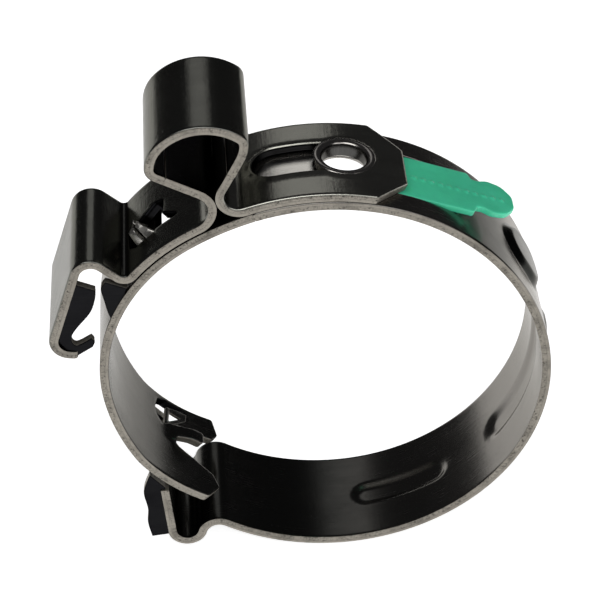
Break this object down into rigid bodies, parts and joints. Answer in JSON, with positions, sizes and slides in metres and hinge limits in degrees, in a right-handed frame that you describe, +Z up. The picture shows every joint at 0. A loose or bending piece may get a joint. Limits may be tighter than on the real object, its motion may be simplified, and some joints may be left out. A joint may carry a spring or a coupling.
{
  "type": "hose clamp",
  "caption": "Spring hose clamp: a bent steel band with a closing hook, a spring strap with a loop and a hooked latch lever, a hollow rivet and a pull-out plastic tab.",
  "frame": {"origin": "centre of the hose seat, on the hose axis and in the middle of the strip's width", "axes": "+Y along the hose axis, +Z up towards the spring loop, +X away from the latch"},
  "size_m": [0.0655, 0.016, 0.0699],
  "materials": {
    "band_steel": "polished strip with rough blanked edges",
    "strap_steel": "polished strip with rough blanked edges",
    "rivet_steel": "bright rolled rim",
    "tab_plastic": "satin moulded green"
  },
  "bodies": {
    "root": {"clamp_band": "band_steel", "strap_anchor": "strap_steel", "hollow_rivet": "rivet_steel"},
    "arm": {"closing_arm": "band_steel"},
    "tongue": {"inner_tongue": "band_steel"},
    "lever": {"hook_lever": "strap_steel"},
    "tab": {"size_tab": "tab_plastic"}
  },
  "joints": [
    {"name": "arm_flex", "type": "hinge", "parent": "root", "child": "arm", "pos_m": [0.01953, 0, -0.02023], "axis": [0, 1, 0], "range_deg": [0, 10], "stiffness_Nm_per_rad": 8},
    {"name": "tongue_flex", "type": "hinge", "parent": "root", "child": "tongue", "pos_m": [-0.01104, 0, 0.02672], "axis": [0, 1, 0], "range_deg": [-14, 0], "stiffness_Nm_per_rad": 6},
    {"name": "lever_flex", "type": "hinge", "parent": "root", "child": "lever", "pos_m": [-0.01691, 0, 0.04012], "axis": [0, 1, 0], "range_deg": [0, 8], "stiffness_Nm_per_rad": 10},
    {"name": "tab_pull", "type": "slide", "parent": "root", "child": "tab", "axis": [0.9426, 0, -0.3338], "range_m": [0, 0.012]}
  ],
  "couplings": [
    {"joint": "tongue_flex", "follows": "arm_flex", "ratio": -1.4}
  ]
}
